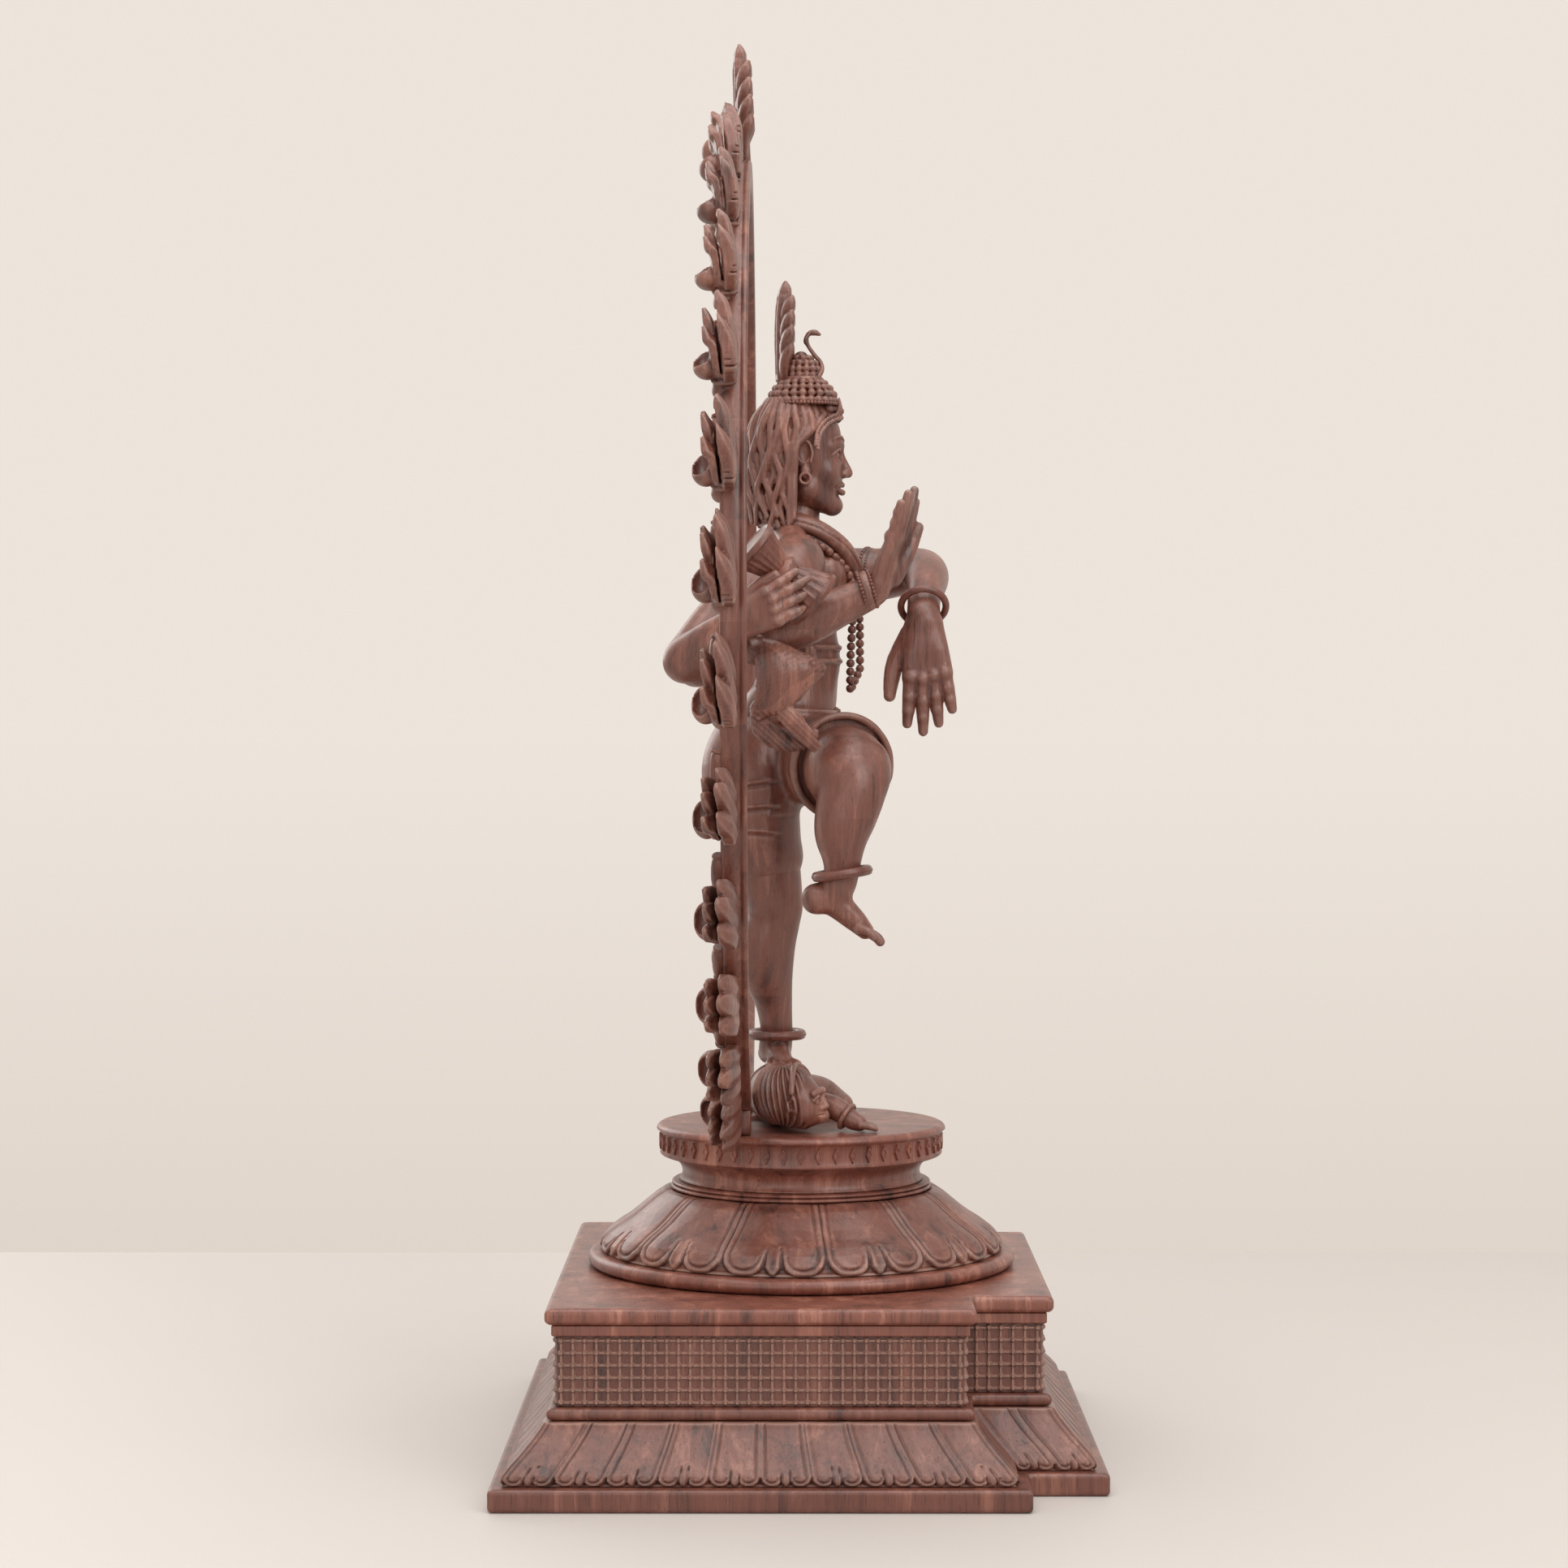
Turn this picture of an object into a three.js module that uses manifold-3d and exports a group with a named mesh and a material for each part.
// A dancing four-armed figure in a ring of flames, standing on a dwarf on a lotus pedestal.
// Carved and turned in dark red wood. Millimetres, +Z up.
// Origin: centre of the underside of the plinth. The figure faces -Y and its right side is -X.
import * as THREE from 'three';
import { mergeVertices } from 'three/addons/utils/BufferGeometryUtils.js';
import Module from 'manifold-3d';

const wasm = await Module();
wasm.setup();

// ---------------------------------------------------------------- driving dimensions
const HEIGHT = 914;           // underside of the plinth to the tip of the top flame
const GAP = 0.3;              // glue line between pieces that touch
const ROUND = 32;             // sides of the turned pieces

const PLINTH_X = 432;         // plinth length across the figure
const PLINTH_Y = 376;         // plinth depth, front to back
const NOTCH_X = 46;           // cut-out at each front corner
const NOTCH_Y = 50;
const CAP_INSET = 32;         // the cap is this much smaller all round than the plinth slab

const SLAB_TOP = 14;
const FRIEZE_TOP = 48.3;
const BEAD_TOP = 56.3;
const PANEL_TOP = 99.3;
const FILLET_TOP = 106.7;
const CAP_TOP = 117;
const LOTUS_RING_TOP = 127;
const LOTUS_TOP = 166.5;
const NECK_TOP = 172.5;
const BOWL_TOP = 188.4;
const DISC_TOP = 209.5;

const LOTUS_RING_R = 139.7;
const LOTUS_FOOT_R = 131;
const NECK_R = 84.5;
const BOWL_R = 86;
const DISC_R = 94.7;

const RING_R = 292;           // outer radius of the ring's upper half
const RING_DROP = 331;        // the lower half is an ellipse this deep
const RING_Z = 543;           // height of the ring's centre
const RING_FRONT = 31.5;      // front and rear faces of the ring
const RING_BACK = 47.6;
const RING_THICK = 16;        // measured along the ring's radius
const FLAME_STEP = 90 / 7;    // degrees from one flame to the next in the upper half
const LOWER_STEP = 11.7;      // the same on the lower half's ellipse
const FLAME_DEEP = 25;        // front to back
const CREST_LONG = HEIGHT - RING_Z - RING_R - GAP;
const RAIL_R = 2.6;           // the small rail behind the ring that the flames share

const ANKLET_R = 16.6;        // the loose rings round both ankles and the left wrist
const ANKLET_TUBE = 3;
const STANDING_ANKLET = [-11, 16, 268];
const RAISED_ANKLET = [-100, -25.5, 377];
const RAISED_ANKLET_TILT = [-8, 0, 0];
const BANGLE = [-30, -79, 546.5];
const BANGLE_R = 14.5;
const BANGLE_TUBE = 2.4;
const BANGLE_TILT = [0, 49.5, 0];

const rad = THREE.MathUtils.degToRad;
const vec = (x, y, z) => new THREE.Vector3(x, y, z);

// ---------------------------------------------------------------- solids
// A closed geometry as a solid that can be joined and cut.
function solid(geometry) {
  const bare = geometry.index ? geometry.toNonIndexed() : geometry.clone();
  for (const name of Object.keys(bare.attributes)) {
    if (name !== 'position') bare.deleteAttribute(name);
  }
  const merged = mergeVertices(bare, 1e-3);
  const index = merged.index.array;
  const kept = [];
  for (let i = 0; i < index.length; i += 3) {
    const [a, b, c] = [index[i], index[i + 1], index[i + 2]];
    if (a !== b && b !== c && c !== a) kept.push(a, b, c);
  }
  return new wasm.Manifold(new wasm.Mesh({
    numProp: 3,
    vertProperties: new Float32Array(merged.attributes.position.array),
    triVerts: new Uint32Array(kept),
  }));
}

function join(pieces) {
  return pieces.reduce((all, piece) => all.add(piece));
}

function cut(body, ...tools) {
  return tools.reduce((left, tool) => left.subtract(tool), body);
}

function geometryOf(body) {
  const mesh = body.getMesh();
  const geometry = new THREE.BufferGeometry();
  geometry.setAttribute('position', new THREE.BufferAttribute(mesh.vertProperties, 3));
  geometry.setIndex(new THREE.BufferAttribute(mesh.triVerts, 1));
  geometry.computeVertexNormals();
  return geometry;
}

function block(low, high) {
  const size = vec(...high).sub(vec(...low));
  const centre = vec(...high).add(vec(...low)).multiplyScalar(0.5);
  const geometry = new THREE.BoxGeometry(size.x, size.y, size.z);
  return solid(geometry.translate(centre.x, centre.y, centre.z));
}

// A turned piece about a vertical axis. The profile is [radius, height], from the bottom upwards,
// and starts and ends on the axis or closes on itself.
function turned(profile, sides = ROUND) {
  const points = profile.map(([r, z]) => new THREE.Vector2(r, z));
  return solid(new THREE.LatheGeometry(points, sides).rotateX(Math.PI / 2));
}

function dowel(x, y, bottom, top, radius, sides = 16) {
  const geometry = new THREE.CylinderGeometry(radius, radius, top - bottom, sides);
  return solid(geometry.rotateX(Math.PI / 2).translate(x, y, (bottom + top) / 2));
}

// A closed ring of round section. Its axis is along Z before it is turned by the angles.
function hoopOf(centre, radius, tube, tilt = [0, 0, 0], sides = 20, tubeSides = 6) {
  const geometry = new THREE.TorusGeometry(radius, tube, tubeSides, sides);
  geometry.rotateX(rad(tilt[0])).rotateY(rad(tilt[1])).rotateZ(rad(tilt[2]));
  return solid(geometry.translate(...centre));
}

// An oval ball.
function ball(centre, radii, grow = 0, sides = 10) {
  const geometry = new THREE.SphereGeometry(1, sides, Math.round(sides * 0.6));
  geometry.rotateX(Math.PI / 2).scale(radii[0] + grow, radii[1] + grow, radii[2] + grow);
  return solid(geometry.translate(...centre));
}

// A tapering limb with round ends along a smooth curve through stops of [x, y, z, radius].
// It is a turned profile, one row of points per step, laid along the curve.
function limb(stops, grow = 0, sides = 8) {
  const route = new THREE.CatmullRomCurve3(stops.map(([x, y, z]) => vec(x, y, z)), false, 'centripetal');
  const steps = 2 * (stops.length - 1);
  const frames = route.computeFrenetFrames(steps);
  const row = (k, ahead, share) => {
    const t = route.getUtoTmapping(k / steps);
    const place = t * (stops.length - 1);
    const before = Math.min(Math.floor(place), stops.length - 2);
    const radius = THREE.MathUtils.lerp(stops[before][3], stops[before + 1][3], place - before) + grow;
    const centre = route.getPoint(t).addScaledVector(frames.tangents[k], ahead * radius);
    return { centre, radius: share * radius, across: frames.normals[k], up: frames.binormals[k] };
  };
  const rows = [row(0, -1, 0), row(0, -0.7, 0.7)];
  for (let k = 0; k <= steps; k += 1) rows.push(row(k, 0, 1));
  rows.push(row(steps, 0.7, 0.7), row(steps, 1, 0));
  const geometry = new THREE.LatheGeometry(rows.map((r, k) => new THREE.Vector2(r.radius, k)), sides);
  const places = geometry.attributes.position;
  for (let i = 0; i < places.count; i += 1) {
    const { centre, radius, across, up } = rows[Math.round(places.getY(i))];
    const turn = radius > 0 ? Math.atan2(places.getX(i), places.getZ(i)) : 0;
    const p = centre.clone().addScaledVector(across, radius * Math.sin(turn));
    p.addScaledVector(up, -radius * Math.cos(turn));
    places.setXYZ(i, p.x, p.y, p.z);
  }
  return solid(geometry);
}

// A cord of round section along a smooth curve through the points.
function cord(points, radius, steps, sides = 8, closed = false) {
  const route = new THREE.CatmullRomCurve3(points.map((p) => vec(...p)), closed);
  const section = new THREE.Shape();
  section.absarc(0, 0, radius, 0, 2 * Math.PI);
  return solid(new THREE.ExtrudeGeometry(section, {
    steps, extrudePath: route, curveSegments: sides, bevelEnabled: false,
  }));
}

// A band that follows a body: a closed ring, drawn oval, with the body cut out of it.
function band(centre, radii, tube, tilt = [0, 0, 0], bodies = [], sides = 22) {
  const geometry = new THREE.TorusGeometry(1, 0.25, 6, sides);
  const places = geometry.attributes.position;
  for (let i = 0; i < places.count; i += 1) {
    const p = vec().fromBufferAttribute(places, i);
    const turn = Math.atan2(p.y, p.x);
    const spine = vec(Math.cos(turn), Math.sin(turn), 0);
    const off = p.sub(spine).multiplyScalar(tube / 0.25);
    places.setXYZ(i, spine.x * radii[0] + off.x, spine.y * radii[1] + off.y, off.z);
  }
  geometry.rotateX(rad(tilt[0])).rotateY(rad(tilt[1])).rotateZ(rad(tilt[2])).translate(...centre);
  return cut(solid(geometry), ...bodies);
}

// ---------------------------------------------------------------- the finished nodes
const group = new THREE.Group();

const WOOD = { color: 0x7a4638, roughness: 0.42, metalness: 0 };
const DARK_WOOD = { color: 0x64362b, roughness: 0.5, metalness: 0 };
const PALE_WOOD = { color: 0x8a5444, roughness: 0.4, metalness: 0 };
const DOWEL_WOOD = { color: 0xb98a5c, roughness: 0.7, metalness: 0 };
const SKIN = { color: 0x9a8d84, roughness: 0.6, metalness: 0 };

function node(name, body, finish = WOOD) {
  const mesh = new THREE.Mesh(geometryOf(body), new THREE.MeshStandardMaterial(finish));
  mesh.name = name;
  group.add(mesh);
  return body;
}

// ---------------------------------------------------------------- plinth
// The plinth's plan: a rectangle with both front corners cut out, drawn in by the inset.
function plan(inset) {
  const x = PLINTH_X / 2 - inset;
  const y = PLINTH_Y / 2 - inset;
  const nx = x - NOTCH_X;
  const ny = NOTCH_Y - y;
  const corners = [[x, y], [-x, y], [-x, ny], [-nx, ny], [-nx, -y], [nx, -y], [nx, ny], [x, ny]];
  return new THREE.Shape(corners.map(([px, py]) => new THREE.Vector2(px, py)));
}

// A slab of that plan with rounded edges.
function slab(inset, bottom, top, edge) {
  const geometry = new THREE.ExtrudeGeometry(plan(inset + edge), {
    depth: top - bottom - 2 * edge,
    bevelEnabled: edge > 0,
    bevelSize: edge,
    bevelThickness: edge,
    bevelSegments: 2,
  });
  return solid(geometry.translate(0, 0, bottom + edge));
}

// A course of that plan whose sides slope from one inset at the bottom to another at the top.
function slopedCourse(lowInset, highInset, bottom, top) {
  const spare = 2;
  const geometry = new THREE.ExtrudeGeometry(plan(highInset), {
    depth: spare,
    bevelEnabled: true,
    bevelSize: highInset - lowInset,
    bevelThickness: top - bottom,
    bevelSegments: 1,
  });
  const reach = PLINTH_X;
  const below = block([-reach, -reach, bottom - PLINTH_Y], [reach, reach, bottom]);
  return cut(solid(geometry.translate(0, 0, bottom - spare)), below);
}

function makePlinth() {
  const coreInset = CAP_INSET + 7.5;
  const panelInset = CAP_INSET + 4.8;
  const friezeWaist = SLAB_TOP + 13;
  node('plinth_slab', slab(0, 0, SLAB_TOP, 3), DARK_WOOD);
  node('petal_frieze', join([
    slopedCourse(8.5, 15, SLAB_TOP + GAP, friezeWaist + 0.5),
    slopedCourse(15, CAP_INSET + 1.5, friezeWaist, FRIEZE_TOP),
  ]));
  node('bead_moulding', slab(CAP_INSET + 1, FRIEZE_TOP + GAP, BEAD_TOP, 2.5));
  node('plinth_core', slab(coreInset, BEAD_TOP + GAP, PANEL_TOP, 0), DARK_WOOD);

  const x = PLINTH_X / 2 - panelInset;
  const y = PLINTH_Y / 2 - panelInset;
  const coreX = PLINTH_X / 2 - coreInset + GAP;
  const coreY = PLINTH_Y / 2 - coreInset + GAP;
  const low = BEAD_TOP + GAP;
  const high = PANEL_TOP - GAP;
  const front = cut(
    slab(panelInset, low, high, 0),
    slab(coreInset - GAP, low - 1, high + 1, 0),
    block([-x - 1, NOTCH_Y - y, low - 1], [x + 1, y + 1, high + 1]),
  );
  node('lattice_front', front, PALE_WOOD);
  node('lattice_back', block([-x, coreY, low], [x, y, high]), PALE_WOOD);
  for (const [side, s] of [['right', -1], ['left', 1]]) {
    const inner = [Math.min(s * coreX, s * x), NOTCH_Y - y + GAP, low];
    const outer = [Math.max(s * coreX, s * x), coreY - GAP, high];
    node(`lattice_${side}`, block(inner, outer), PALE_WOOD);
  }
  node('plinth_fillet', slab(CAP_INSET + 4, PANEL_TOP + GAP, FILLET_TOP - GAP, 0));
  const dowelHole = dowel(0, 0, CAP_TOP - 7 - GAP, CAP_TOP + 1, DOWEL_R + GAP);
  node('plinth_cap', cut(slab(CAP_INSET, FILLET_TOP, CAP_TOP, 2.5), dowelHole));
}

// ---------------------------------------------------------------- lotus pedestal
const DOWEL_R = 12;
const TENON_R = 4;
const FOOT_X = 68;            // the ring's feet stand here on the disc
const FOOT_TOP = 226;

function makePedestal() {
  const bore = DOWEL_R + GAP;
  const z0 = CAP_TOP + GAP;
  const zMid = (z0 + LOTUS_RING_TOP) / 2;
  node('lotus_ring', turned([
    [bore, z0], [LOTUS_RING_R - 3, z0], [LOTUS_RING_R, zMid], [LOTUS_RING_R - 3, LOTUS_RING_TOP],
    [bore, LOTUS_RING_TOP], [bore, z0],
  ]));
  const d0 = LOTUS_RING_TOP + GAP;
  node('lotus_dome', turned([
    [bore, d0], [LOTUS_FOOT_R, d0], [LOTUS_FOOT_R - 4, d0 + 5], [114, 144], [99, 158],
    [86, LOTUS_TOP], [bore, LOTUS_TOP], [bore, d0],
  ]));
  const n0 = LOTUS_TOP + GAP;
  node('neck_ring', turned([
    [bore, n0], [NECK_R, n0], [NECK_R + 1, n0 + 3], [NECK_R - 3, NECK_TOP], [bore, NECK_TOP], [bore, n0],
  ]));
  const b0 = NECK_TOP + GAP;
  node('pedestal_bowl', turned([
    [bore, b0], [76, b0], [82, b0 + 5], [BOWL_R, b0 + 11], [BOWL_R, BOWL_TOP], [bore, BOWL_TOP], [bore, b0],
  ]));
  const c0 = BOWL_TOP + GAP;
  const hole = DISC_TOP - 9;
  const disc = turned([
    [0, hole], [bore, hole], [bore, c0], [DISC_R - 1, c0], [DISC_R, c0 + 2],
    [DISC_R, DISC_TOP - 4], [DISC_R - 4, DISC_TOP], [0, DISC_TOP],
  ]);
  node('pedestal_disc', cut(
    disc,
    dowel(-FOOT_X, RING_MID, DISC_TOP - 8, DISC_TOP + 1, TENON_R + GAP, 12),
    dowel(FOOT_X, RING_MID, DISC_TOP - 8, DISC_TOP + 1, TENON_R + GAP, 12),
    dowel(FIGURE_DOWEL[0], FIGURE_DOWEL[1], DISC_TOP - 6, DISC_TOP + 1, 4 + GAP, 12),
  ));
  node('pedestal_dowel', dowel(0, 0, CAP_TOP - 7, hole - GAP, DOWEL_R), DOWEL_WOOD);
}

// ---------------------------------------------------------------- ring of flames
const RING_MID = (RING_FRONT + RING_BACK) / 2;
const FIGURE_DOWEL = [-6, 18];

// A point on the ring, drawn in or out from its outer edge, and the direction away from its centre.
// The angle is in degrees from the top, positive towards -X.
function ringPoint(angle, out) {
  const lower = Math.abs(angle) > 90;
  const drop = lower ? RING_DROP : RING_R;
  const a = rad(angle);
  const away = new THREE.Vector2(-Math.sin(a) * drop, Math.cos(a) * RING_R).normalize();
  return {
    x: -Math.sin(a) * RING_R + away.x * out,
    z: RING_Z + Math.cos(a) * drop + away.y * out,
    away,
  };
}

class RingCurve extends THREE.Curve {
  constructor(from, to, out, y) {
    super();
    Object.assign(this, { from, to, out, y });
  }

  getPoint(t) {
    const p = ringPoint(THREE.MathUtils.lerp(this.from, this.to, t), this.out);
    return vec(p.x, this.y, p.z);
  }
}

function ringSegment(from, to, steps) {
  const halfDeep = (RING_BACK - RING_FRONT) / 2;
  const halfThick = RING_THICK / 2;
  const ease = 3;
  const section = new THREE.Shape([
    [-halfDeep, halfThick - ease], [-halfDeep, ease - halfThick], [ease - halfDeep, -halfThick],
    [halfDeep - ease, -halfThick], [halfDeep, ease - halfThick], [halfDeep, halfThick - ease],
    [halfDeep - ease, halfThick], [ease - halfDeep, halfThick],
  ].map(([u, v]) => new THREE.Vector2(u, v)));
  return solid(new THREE.ExtrudeGeometry(section, {
    steps, extrudePath: new RingCurve(from, to, -halfThick, RING_MID), bevelEnabled: false,
  }));
}

// The angle of a flame, counted from 0 at the top to 13 beside the pedestal.
function flameAngle(count) {
  return count <= 7 ? count * FLAME_STEP : 90 + (count - 7) * LOWER_STEP;
}

// A flat piece of flame standing on the ring at an angle. The outline is [along the ring, outward].
function onRing(angle, outline, front, deep) {
  const shape = new THREE.Shape(outline.map(([t, r]) => new THREE.Vector2(t, r)));
  const geometry = new THREE.ExtrudeGeometry(shape, { depth: deep, bevelEnabled: false });
  geometry.rotateX(Math.PI / 2).translate(0, front + deep, 0);
  const p = ringPoint(angle, GAP);
  geometry.rotateY(Math.atan2(p.away.x, p.away.y)).translate(p.x, 0, p.z);
  return solid(geometry);
}

// One flame: a clump of pointed tongues that curl up its side of the ring, over a small bowl.
function flame(angle, side) {
  const tongues = [
    [9, 0], [17, 13], [27, 27], [25, 42], [16, 35], [12, 46], [2, 32], [-7, 24], [-17, 20],
    [-16, 4], [-9, 0],
  ];
  const outline = tongues.map(([t, r]) => [side * t, r]);
  return onRing(angle, outline, RING_FRONT + 0.5, FLAME_DEEP);
}

// The tall even flame at the top of the ring, in five pairs of scales.
function crestFlame() {
  const half = [[10, 0], [17, 12], [14, 16], [19, 30], [14, 34], [16, 47], [10, 51], [10, 62], [5, 66]];
  const mirrored = half.slice().reverse().map(([t, r]) => [-t, r]);
  return onRing(0, [...half, [0, CREST_LONG], ...mirrored], RING_FRONT, 14);
}

// Several flames and the rail that joins them behind the ring.
function flameStrip(side, first, last) {
  const pieces = [];
  for (let count = first; count <= last; count += 1) {
    pieces.push(flame(side * flameAngle(count), side));
  }
  const spare = 2.2;
  const rail = new RingCurve(
    side * (flameAngle(first) - spare), side * (flameAngle(last) + spare), 2, RING_BACK + GAP + RAIL_R,
  );
  const section = new THREE.Shape();
  section.absarc(0, 0, RAIL_R, 0, 2 * Math.PI);
  pieces.push(solid(new THREE.ExtrudeGeometry(section, {
    steps: 3 * (last - first), extrudePath: rail, curveSegments: 5, bevelEnabled: false,
  })));
  const disc = dowel(0, 0, BOWL_TOP, DISC_TOP + GAP, DISC_R + 1, ROUND);
  return cut(join(pieces), disc);
}

function makeRing() {
  const seam = 0.03;
  const end = 168;
  for (const [side, s] of [['right', 1], ['left', -1]]) {
    const x = -s * FOOT_X;
    const foot = block([x - 11, RING_FRONT + 0.5, DISC_TOP + GAP], [x + 11, RING_BACK, FOOT_TOP]);
    const bore = dowel(x, RING_MID, DISC_TOP - 8, FOOT_TOP + 6 + GAP, TENON_R + GAP, 12);
    const seat = block([x - 60, RING_FRONT - 9, DISC_TOP], [x + 60, RING_BACK + 9, FOOT_TOP + GAP]);
    node(`ring_upper_${side}`, ringSegment(s * seam, s * (90 - seam), 12));
    node(`ring_lower_${side}`, cut(ringSegment(s * (90 + seam), s * end, 11), seat, bore));
    node(`ring_foot_${side}`, cut(foot, bore), DARK_WOOD);
    node(`ring_tenon_${side}`, dowel(x, RING_MID, DISC_TOP - 7, FOOT_TOP + 6, TENON_R, 12), DOWEL_WOOD);
    node(`flames_upper_${side}`, flameStrip(s, 1, 4));
    node(`flames_middle_${side}`, flameStrip(s, 5, 8));
    node(`flames_lower_${side}`, flameStrip(s, 9, 13));
  }
  node('flame_crest', crestFlame(), PALE_WOOD);
}

// ---------------------------------------------------------------- dwarf under the foot
const DWARF_BACK = 247;       // top of the dwarf's back, under the standing foot

const dwarfBody = (grow) => join([
  limb([[-34, 13, 229, 16], [-8, 15, 228, 18], [22, 16, 227, 17], [40, 14, 226, 15]], grow),
  limb([[40, 18, 224, 11], [66, 17, 221, 9], [80, 6, 217, 6.5]], grow),
  limb([[40, 2, 224, 12], [64, -14, 222, 10], [44, -26, 217, 7]], grow),
]);
const dwarfHead = (grow) => join([
  ball([-62, 10, 234], [20, 19, 22], grow),
  ball([-61, -6, 229], [13, 9, 13], grow, 8),
]);

// ---------------------------------------------------------------- figure: body masses
const torso = (grow) => join([
  ball([0, -1, 564], [49, 31, 34], grow, 12),
  ball([0, 3, 514], [33, 25, 40], grow, 12),
  band([0, 2, 516], [31.5, 23.5], 3.4 + grow),
  limb([[0, 2, 590, 15], [0, 0, 606, 13]], grow),
  limb([[-44, 2, 574, 18], [44, 2, 574, 18]], grow),
]);

// Hips and both thighs as the cloth wraps them.
const loincloth = (grow) => join([
  ball([0, 14, 454], [41, 35, 26], grow, 12),
  limb([[-22, 33, 442, 31], [-24, 28, 410, 26], [-25, 22, 388, 21]], grow),
  limb([[20, 16, 452, 30], [-22, -10, 448, 28], [-56, -24, 446, 26]], grow),
  hoopOf([-25, 22, 386], 19, 4.5 + grow, [0, 0, 0], 20, 6),
  hoopOf([-62, -25, 446], 25, 4.5 + grow, [0, 80, 18], 20, 6),
]);

const head = (grow) => join([
  ball([0, -2, 646], [24, 28, 34], grow, 12),
  limb([[0, -1, 614, 12.5], [0, -14, 622, 12]], grow),
]);

const standingLeg = (grow) => join([
  limb([[-25, 21, 378, 18.5], [-25, 17, 356, 17], [-21, 20, 326, 16], [-14, 17, 290, 11],
    [-11, 16, 268, 9.6], [-9, 17, 258, 9]], grow),
  limb([[-2, 20, 256.5, 8.6], [-24, 13, 255.5, 8], [-34, 9, 253.5, 6]], grow),
]);

const raisedLeg = (grow) => join([
  limb([[-76, -30, 448, 23], [-88, -31, 440, 20], [-94, -30, 418, 17], [-99, -27, 394, 10.5],
    [-100, -25, 378, 9.6], [-100, -22, 368, 10]], grow),
  limb([[-100, -7, 361, 8.5], [-100, -28, 352, 8], [-100, -41, 340, 7], [-100, -46, 336, 5]], grow),
]);

const rightFrontArm = (grow) => join([
  limb([[-62, 4, 570, 16], [-84, 20, 540, 14], [-96, 26, 524, 13], [-96, -8, 537, 12],
    [-96, -48, 555, 9.5]], grow),
  limb([[-96, -52, 562, 9.5], [-96, -58, 582, 10], [-96, -66, 602, 7.5], [-96, -72, 615, 5.5]], grow),
]);

const leftFrontArm = (grow) => join([
  limb([[59, -4, 568, 16], [58, -42, 572, 15], [50, -76, 573, 13.5], [10, -82, 564, 12],
    [-22, -80, 553, 9.2], [-36, -78, 538, 8.6], [-40, -77, 520, 10.5], [-41, -76, 498, 10],
    [-42, -75, 476, 6.5]], grow),
]);

// side is -1 for the right back arm and 1 for the left.
const backArm = (side, grow) => limb([
  [side * 58, 22, 570, 15], [side * 92, 52, 536, 14], [side * 118, 72, 511, 13],
  [side * 127, 50, 523, 11.5], [side * 131, 32, 534, 9.5], [side * 132, 22, 543, 9.5],
], grow);

// ---------------------------------------------------------------- figure: worn and held pieces
const DRUM_CENTRE = [-132, 10, 564];
const DRUM_TILT = 40;         // degrees between the drum's axis and the horizontal

function drum(grow) {
  const [rim, waist, half] = [20, 9, 26];
  const body = turned([
    [0, -half - grow], [rim + grow, -half - grow], [rim + grow, 3 - half], [waist + grow, -5],
    [waist + grow, 5], [rim + grow, half - 3], [rim + grow, half + grow], [0, half + grow],
  ], 16);
  return body.rotate([90 - DRUM_TILT, 0, 0]).translate(DRUM_CENTRE);
}

const hairLocks = (grow) => join([
  ball([0, 5, 651], [27, 27, 30], grow, 12),
  limb([[-24, 10, 648, 9], [-28, 16, 620, 8], [-30, 15, 602, 6]], grow, 8),
  limb([[24, 10, 648, 9], [28, 16, 620, 8], [30, 15, 602, 6]], grow, 8),
  limb([[0, 20, 652, 14], [0, 25, 618, 10], [0, 26, 604, 7]], grow, 8),
  limb([[-14, 20, 648, 12], [-16, 24, 616, 9], [-17, 24, 600, 6]], grow, 8),
  limb([[14, 20, 648, 12], [16, 24, 616, 9], [17, 24, 600, 6]], grow, 8),
]);

const hairCrown = (grow) => join([
  turned([[0, 679 - grow], [25 + grow, 679 - grow], [26 + grow, 684], [19 + grow, 694],
    [11 + grow, 702], [8 + grow, 711], [0, 714 + grow]], 16).translate([0, -3, 0]),
]);

function crestPlume() {
  const half = [[6, 0], [10, 18], [21, 34], [17, 42], [20, 50], [13, 56], [14, 64], [7, 70], [0, 80]];
  const mirrored = half.slice(0, -1).reverse().map(([x, z]) => [-x, z]);
  const outline = new THREE.Shape([...half, ...mirrored].map(([x, z]) => new THREE.Vector2(x, z)));
  const geometry = new THREE.ExtrudeGeometry(outline, { depth: 10, bevelEnabled: false });
  return solid(geometry.rotateX(Math.PI / 2).translate(0, 16, 680));
}

const cobra = () => join([
  limb([[-112, 8, 516, 10], [-116, 6, 498, 17], [-116, -2, 484, 13], [-114, -8, 478, 8]]),
  limb([[-112, 16, 500, 9], [-108, 22, 480, 8], [-100, 14, 462, 7], [-98, 2, 458, 5]], 0, 8),
]);

function makeDwarf(near) {
  const floor = block([-120, -120, 150], [120, 120, DISC_TOP + GAP]);
  const underFoot = block([-42, -12, DWARF_BACK], [40, 50, 270]);
  node('dwarf_body', cut(dwarfBody(0), floor, underFoot, near.figureBore));
  node('dwarf_head', cut(dwarfHead(0), floor, near.dwarfBody));
  const arm = limb([[-46, -2, 226, 8], [-54, -22, 225, 7.5], [-60, -34, 217, 6], [-62, -42, 214, 4.5]]);
  node('dwarf_arm', cut(arm, floor, near.dwarfBody, near.dwarfHead));
}

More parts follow.
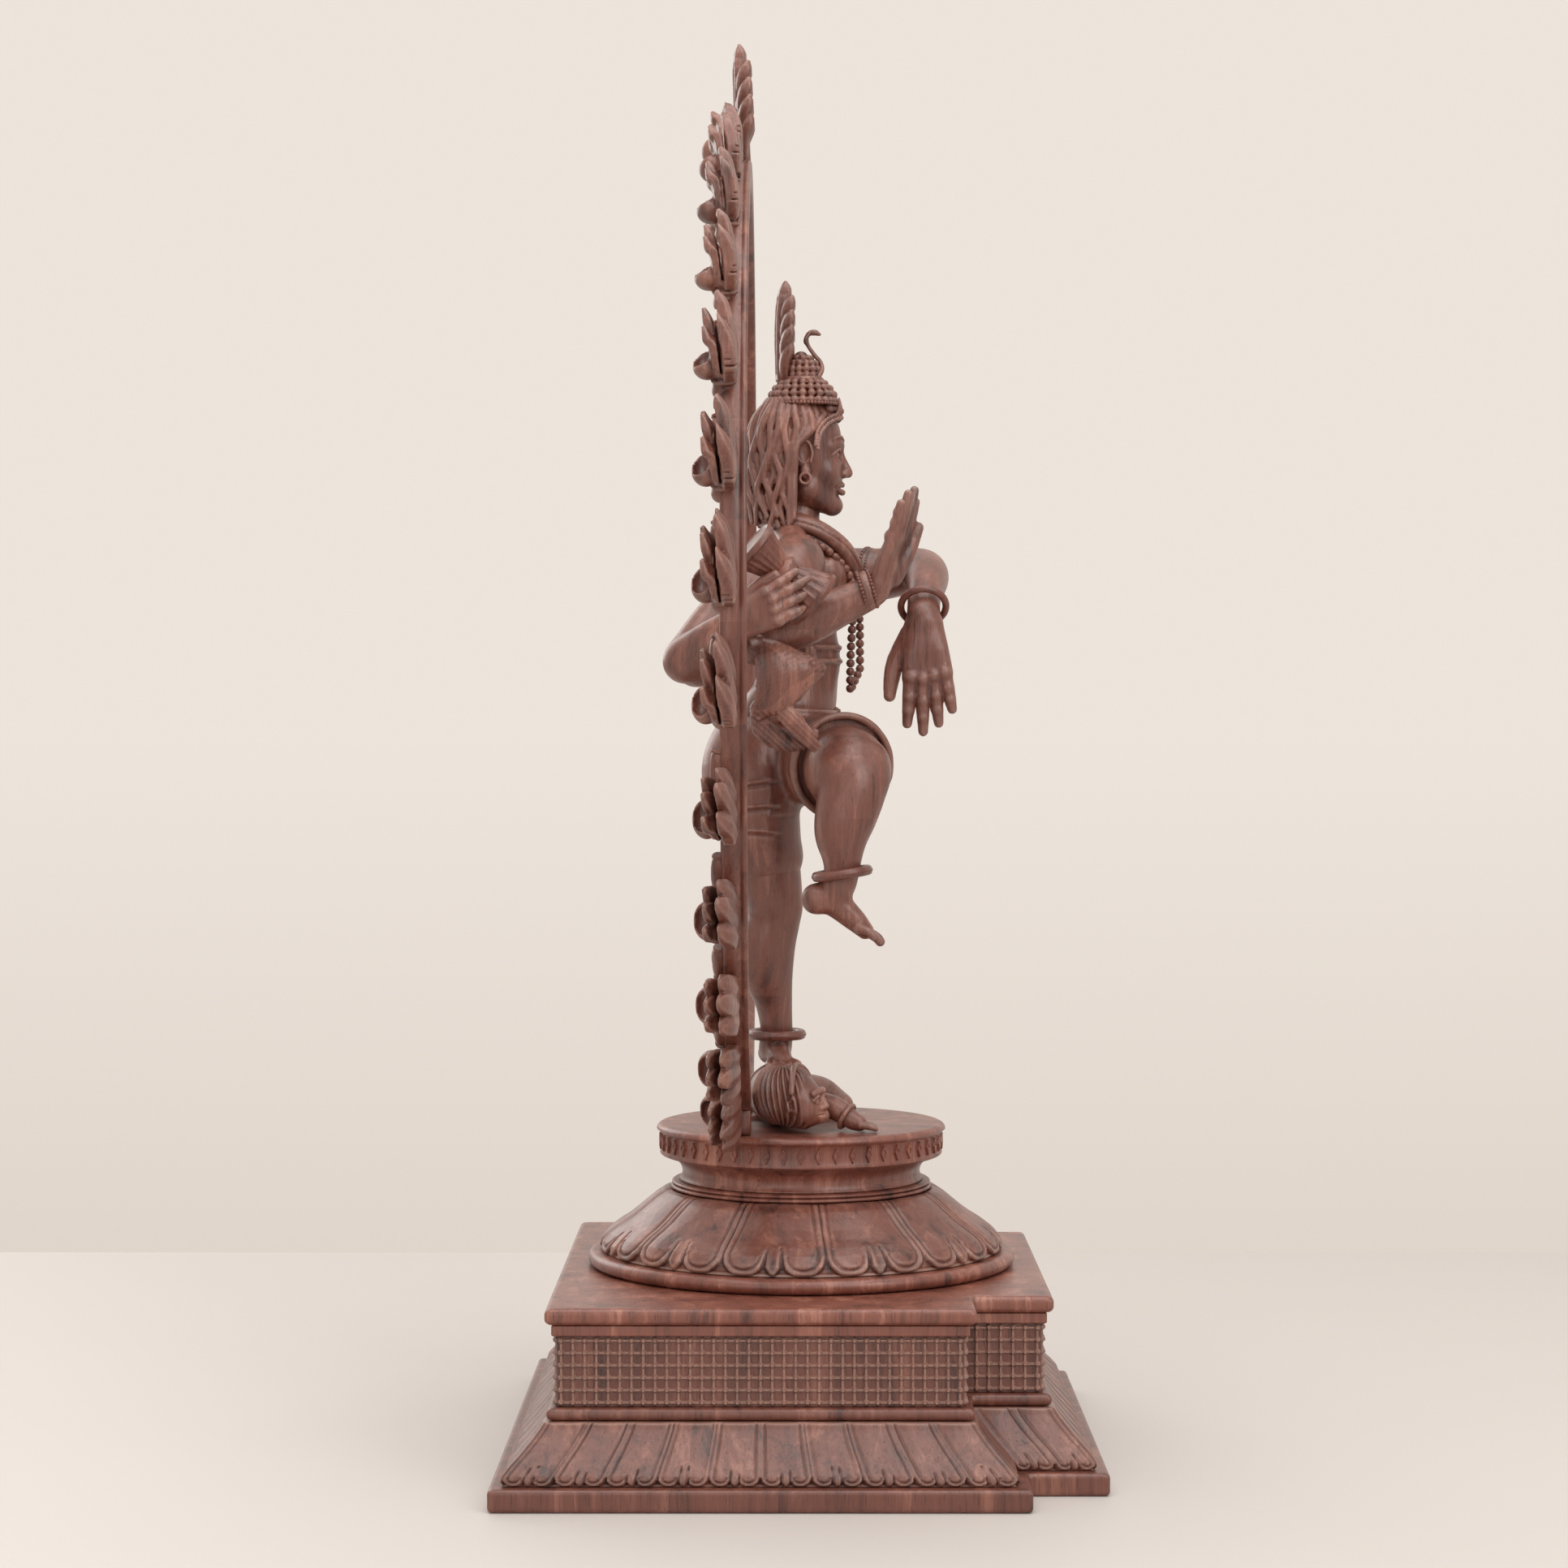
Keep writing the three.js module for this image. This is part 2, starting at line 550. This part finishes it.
function makeBody(near) {
  const sole = block([-80, -60, 230], [60, 60, DWARF_BACK + GAP]);
  node('loincloth', loincloth(0));
  node('torso', cut(torso(0), near.loincloth));
  node('head', cut(head(0), near.torso));
  node('standing_leg', cut(standingLeg(0), sole, near.loincloth, near.dwarfHead, near.figureBore));
  node('raised_leg', cut(raisedLeg(0), near.loincloth));
  node('right_front_arm', cut(rightFrontArm(0), near.torso));
  node('left_front_arm', cut(leftFrontArm(0), near.torso));
  const drumAndArms = [near.torso, near.rightFrontArm, near.leftFrontArm];
  node('right_back_arm', cut(backArm(-1, 0), ...drumAndArms, drum(GAP)));
  node('left_back_arm', cut(backArm(1, 0), ...drumAndArms));
  node('figure_dowel', dowel(FIGURE_DOWEL[0], FIGURE_DOWEL[1], DISC_TOP - 5.5, 262, 4, 12), DOWEL_WOOD);
}

function makeWorn(near) {
  const { torso: body, loincloth: cloth, head: skull } = near;
  node('hip_belt', band([0, 8, 476], [37, 27], 5, [0, 0, 0], [body, cloth]));
  node('scarf', band([0, -1, 594], [21, 20], 6, [14, 0, 0], [body, skull, near.hairLocks]));
  const arms = [near.rightFrontArm, near.leftFrontArm, near.rightBackArm, near.leftBackArm];
  const garland = cord([
    [-26, -26, 588], [-17, -35, 565], [-9, -36, 530], [-5, -36, 500], [0, -36, 490],
    [5, -36, 500], [9, -36, 530], [17, -35, 565], [26, -26, 588],
  ], 3, 20, 5);
  const scarf = band([0, -1, 594], [21, 20], 6 + GAP, [14, 0, 0], []);
  node('bead_garland', cut(garland, body, scarf));
  node('hair_locks', cut(hairLocks(0), skull, body, ...arms));
  node('hair_crown', cut(hairCrown(0), skull, near.hairLocks), DARK_WOOD);
  node('diadem', cut(
    band([0, -2, 672], [22, 24], 3.4, [14, 0, 0], []), skull, near.hairLocks, near.hairCrown,
  ), PALE_WOOD);
  node('crest_plume', cut(crestPlume(), skull, near.hairLocks, near.hairCrown));
  const snake = cord([
    [0, -7, 708], [0, -1, 716], [1, -3, 724], [0, -9, 728], [0, -13, 726],
  ], 2.4, 10, 6);
  node('crown_snake', cut(snake, near.hairCrown, near.crestPlume), DARK_WOOD);
  node('right_bracelet', cut(hoopOf([-96, -42, 552.5], 10, 3.4, [76, 0, 0], 20, 6), near.rightFrontArm));
  node('left_armlet', cut(hoopOf([58, -40, 572], 15.5, 4, [90, 0, 0], 24, 6), near.leftFrontArm));
}

function makeHeld(near) {
  node('hand_drum', cut(drum(0), near.rightFrontArm), PALE_WOOD);
  const flameBowl = join([
    turned([[0, 0], [9, 0], [15, 8], [15, 11], [0, 11]], 12),
    limb([[0, 0, 14, 8], [0, 0, 26, 6], [0, 0, 36, 2.5]], 0, 8),
  ]).translate([133, 14, 557]);
  node('hand_flame', cut(flameBowl, near.leftBackArm));
  node('forearm_cobra', cut(cobra(), near.rightFrontArm, near.rightBackArm, near.torso, near.loincloth));
}

// Loose rings, carved free of the limb they hang round.
function makeLooseRings() {
  node('standing_anklet', hoopOf(STANDING_ANKLET, ANKLET_R, ANKLET_TUBE));
  node('raised_anklet', hoopOf(RAISED_ANKLET, ANKLET_R, ANKLET_TUBE, RAISED_ANKLET_TILT));
  node('wrist_bangle', hoopOf(BANGLE, BANGLE_R, BANGLE_TUBE, BANGLE_TILT));
}

function makeFigure() {
  const near = {
    torso: torso(GAP), loincloth: loincloth(GAP), head: head(GAP),
    standingLeg: standingLeg(GAP), raisedLeg: raisedLeg(GAP),
    dwarfBody: dwarfBody(GAP), dwarfHead: dwarfHead(GAP),
    rightFrontArm: rightFrontArm(GAP), leftFrontArm: leftFrontArm(GAP),
    rightBackArm: backArm(-1, GAP), leftBackArm: backArm(1, GAP),
    hairLocks: hairLocks(GAP), hairCrown: hairCrown(GAP),
    crestPlume: crestPlume(),
    figureBore: dowel(FIGURE_DOWEL[0], FIGURE_DOWEL[1], DISC_TOP - 6, 262 + GAP, 4 + GAP, 12),
  };
  makeDwarf(near);
  makeBody(near);
  makeWorn(near);
  makeHeld(near);
  makeLooseRings();
}

makePlinth();
makePedestal();
makeRing();
makeFigure();

export default group;
